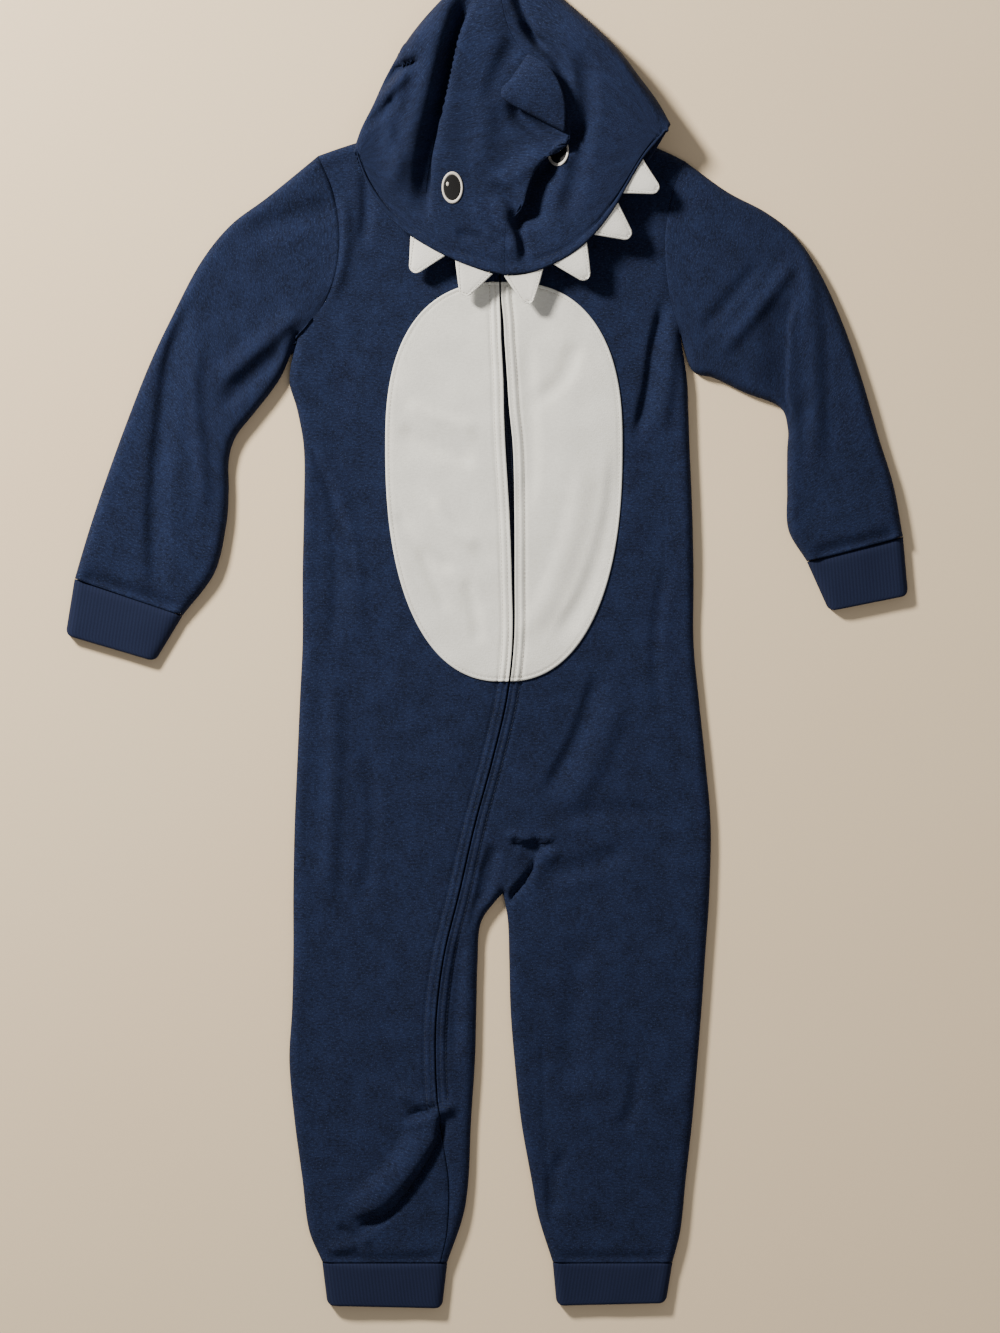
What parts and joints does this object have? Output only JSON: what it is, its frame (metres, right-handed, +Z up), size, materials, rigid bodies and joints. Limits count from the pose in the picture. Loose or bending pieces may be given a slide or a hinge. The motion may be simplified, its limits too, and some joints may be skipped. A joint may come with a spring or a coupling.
{
  "type": "onesie pajama",
  "caption": "Child's hooded one-piece fleece pajama with a full-length front zip, ribbed cuffs and a shark hood with fin, eyes and teeth, laid flat face up.",
  "frame": {"origin": "middle of the laid garment's outline, on the surface it lies on", "axes": "+X towards the garment's own left side, +Y from the feet towards the hood, +Z up from the surface through the front"},
  "size_m": [0.64, 1.018, 0.0379],
  "materials": {
    "navy_fleece": "soft brushed fleece",
    "navy_rib": "ribbed knit",
    "white_fleece": "soft brushed fleece",
    "tooth_felt": "soft fleece with a stitched edge",
    "eye_white": "embroidered thread",
    "eye_black": "embroidered thread",
    "zip_tape": "woven tape",
    "zip_metal": "satin"
  },
  "bodies": {
    "root": {"front_right": "navy_fleece", "front_left": "navy_fleece", "back_right": "navy_fleece", "back_left": "navy_fleece", "belly_right": "white_fleece", "belly_left": "white_fleece", "zip_tape": "zip_tape", "sleeve_right": "navy_fleece", "sleeve_left": "navy_fleece", "wrist_cuff_right": "navy_rib", "wrist_cuff_left": "navy_rib", "ankle_cuff_right": "navy_rib", "ankle_cuff_left": "navy_rib", "hood_right": "navy_fleece", "hood_left": "navy_fleece", "fin": "navy_fleece", "tooth_1": "tooth_felt", "tooth_2": "tooth_felt", "tooth_3": "tooth_felt", "tooth_4": "tooth_felt", "tooth_5": "tooth_felt", "tooth_6": "tooth_felt", "tooth_7": "tooth_felt", "tooth_8": "tooth_felt", "eye_right": "eye_white", "eye_left": "eye_white", "pupil_right": "eye_black", "pupil_left": "eye_black", "zip_slider": "zip_metal", "zip_tab": "zip_metal"}
  },
  "joints": []
}
